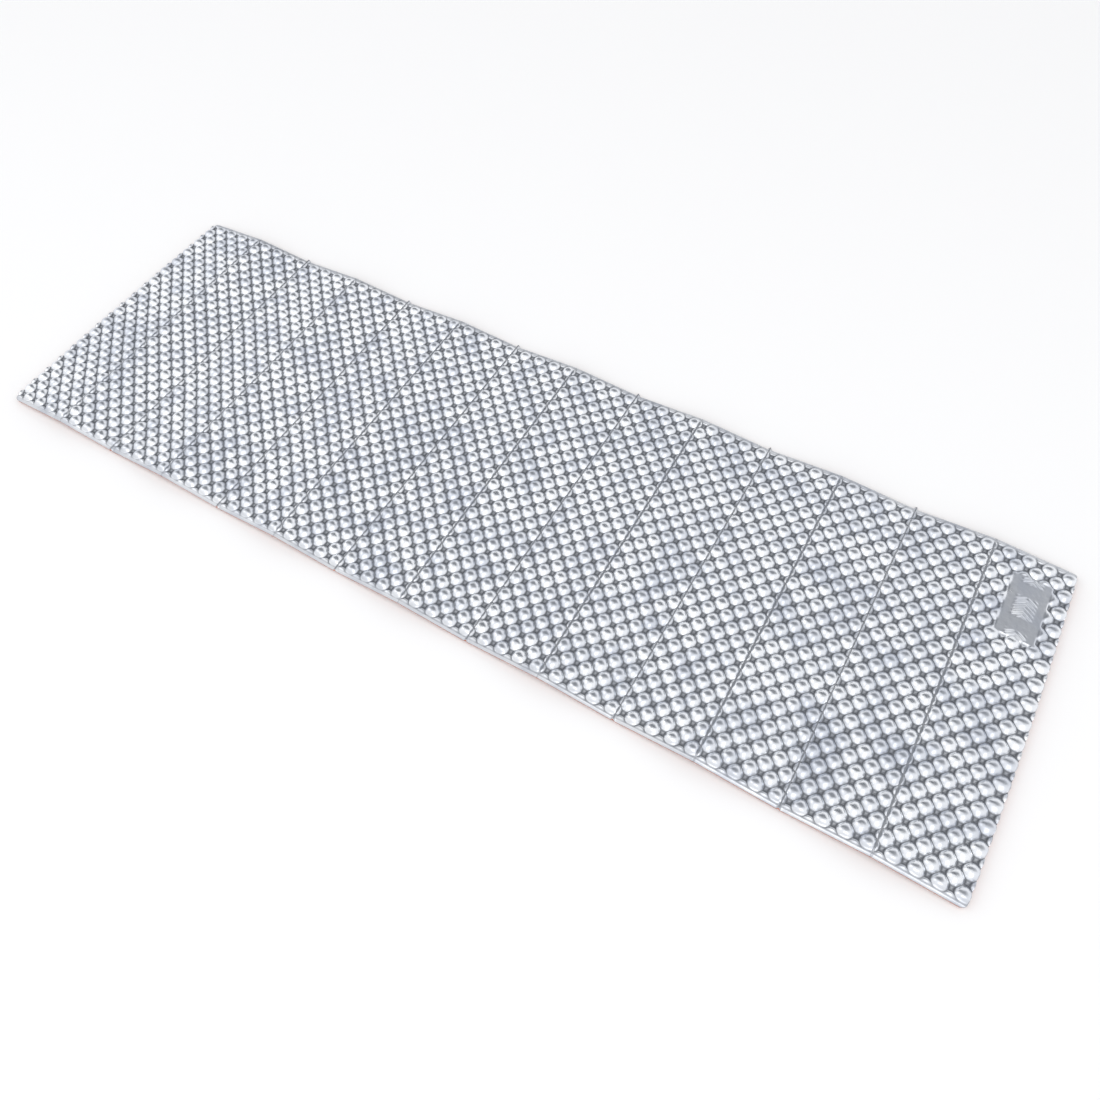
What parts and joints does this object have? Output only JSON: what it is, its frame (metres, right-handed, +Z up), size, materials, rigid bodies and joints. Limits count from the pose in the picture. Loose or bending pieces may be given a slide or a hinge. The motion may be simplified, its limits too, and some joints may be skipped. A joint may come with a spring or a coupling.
{
  "type": "folding foam sleeping pad",
  "caption": "Concertina-folding egg-crate foam sleeping pad with a reflective film on its upper side, pressed into panels that fold up on living hinges.",
  "frame": {"origin": "middle of the laid-out pad, on the ground it lies on", "axes": "+X along the pad's length, towards the end with the smooth field; +Y across its width; +Z up, out of the film side"},
  "size_m": [1.8, 0.57, 0.0249],
  "materials": {
    "foam": "closed-cell polyethylene foam, matt, orange-red",
    "film": "aluminised plastic film, bright silver, fine creases",
    "crease": "the same foam and film, pressed thin into a hinge"
  },
  "bodies": {
    "panel_01": {"foam_panel_01": "foam", "film_panel_01": "film"},
    "panel_02": {"foam_panel_02": "foam", "film_panel_02": "film", "crease_01": "crease", "crease_02": "crease"},
    "panel_03": {"foam_panel_03": "foam", "film_panel_03": "film", "crease_03": "crease"},
    "panel_04": {"foam_panel_04": "foam", "film_panel_04": "film", "crease_04": "crease"},
    "panel_05": {"foam_panel_05": "foam", "film_panel_05": "film", "crease_05": "crease"},
    "panel_06": {"foam_panel_06": "foam", "film_panel_06": "film", "crease_06": "crease"},
    "panel_07": {"foam_panel_07": "foam", "film_panel_07": "film", "crease_07": "crease"},
    "panel_08": {"foam_panel_08": "foam", "film_panel_08": "film", "crease_08": "crease"},
    "panel_09": {"foam_panel_09": "foam", "film_panel_09": "film", "crease_09": "crease"},
    "panel_10": {"foam_panel_10": "foam", "film_panel_10": "film", "crease_10": "crease"},
    "panel_11": {"foam_panel_11": "foam", "film_panel_11": "film", "crease_11": "crease"},
    "panel_12": {"foam_panel_12": "foam", "film_panel_12": "film", "crease_12": "crease"},
    "panel_13": {"foam_panel_13": "foam", "film_panel_13": "film", "crease_13": "crease"},
    "panel_14": {"foam_panel_14": "foam", "film_panel_14": "film"}
  },
  "joints": [
    {"name": "fold_01", "type": "hinge", "parent": "panel_02", "child": "panel_01", "pos_m": [-0.77275, 0, 0.01128], "axis": [0, -1, 0], "range_deg": [0, 172.4], "deforming": ["crease_01"]},
    {"name": "fold_02", "type": "hinge", "parent": "panel_02", "child": "panel_03", "pos_m": [-0.64396, 0, 0.01325], "axis": [0, -1, 0], "range_deg": [0, 172.4], "deforming": ["crease_02"]},
    {"name": "fold_03", "type": "hinge", "parent": "panel_03", "child": "panel_04", "pos_m": [-0.51517, 0, 0.01128], "axis": [0, 1, 0], "range_deg": [0, 172.4], "deforming": ["crease_03"]},
    {"name": "fold_04", "type": "hinge", "parent": "panel_04", "child": "panel_05", "pos_m": [-0.38638, 0, 0.01325], "axis": [0, -1, 0], "range_deg": [0, 172.4], "deforming": ["crease_04"]},
    {"name": "fold_05", "type": "hinge", "parent": "panel_05", "child": "panel_06", "pos_m": [-0.25758, 0, 0.01128], "axis": [0, 1, 0], "range_deg": [0, 172.4], "deforming": ["crease_05"]},
    {"name": "fold_06", "type": "hinge", "parent": "panel_06", "child": "panel_07", "pos_m": [-0.12879, 0, 0.01325], "axis": [0, -1, 0], "range_deg": [0, 172.4], "deforming": ["crease_06"]},
    {"name": "fold_07", "type": "hinge", "parent": "panel_07", "child": "panel_08", "pos_m": [0, 0, 0.01128], "axis": [0, 1, 0], "range_deg": [0, 172.4], "deforming": ["crease_07"]},
    {"name": "fold_08", "type": "hinge", "parent": "panel_08", "child": "panel_09", "pos_m": [0.12879, 0, 0.01325], "axis": [0, -1, 0], "range_deg": [0, 172.4], "deforming": ["crease_08"]},
    {"name": "fold_09", "type": "hinge", "parent": "panel_09", "child": "panel_10", "pos_m": [0.25758, 0, 0.01128], "axis": [0, 1, 0], "range_deg": [0, 172.4], "deforming": ["crease_09"]},
    {"name": "fold_10", "type": "hinge", "parent": "panel_10", "child": "panel_11", "pos_m": [0.38638, 0, 0.01325], "axis": [0, -1, 0], "range_deg": [0, 172.4], "deforming": ["crease_10"]},
    {"name": "fold_11", "type": "hinge", "parent": "panel_11", "child": "panel_12", "pos_m": [0.51517, 0, 0.01128], "axis": [0, 1, 0], "range_deg": [0, 172.4], "deforming": ["crease_11"]},
    {"name": "fold_12", "type": "hinge", "parent": "panel_12", "child": "panel_13", "pos_m": [0.64396, 0, 0.01325], "axis": [0, -1, 0], "range_deg": [0, 172.4], "deforming": ["crease_12"]},
    {"name": "fold_13", "type": "hinge", "parent": "panel_13", "child": "panel_14", "pos_m": [0.77275, 0, 0.01128], "axis": [0, 1, 0], "range_deg": [0, 172.4], "deforming": ["crease_13"]}
  ],
  "couplings": [
    {"joint": "fold_03", "follows": "fold_02", "ratio": 1},
    {"joint": "fold_05", "follows": "fold_04", "ratio": 1},
    {"joint": "fold_07", "follows": "fold_06", "ratio": 1},
    {"joint": "fold_09", "follows": "fold_08", "ratio": 1},
    {"joint": "fold_11", "follows": "fold_10", "ratio": 1},
    {"joint": "fold_13", "follows": "fold_12", "ratio": 1}
  ]
}
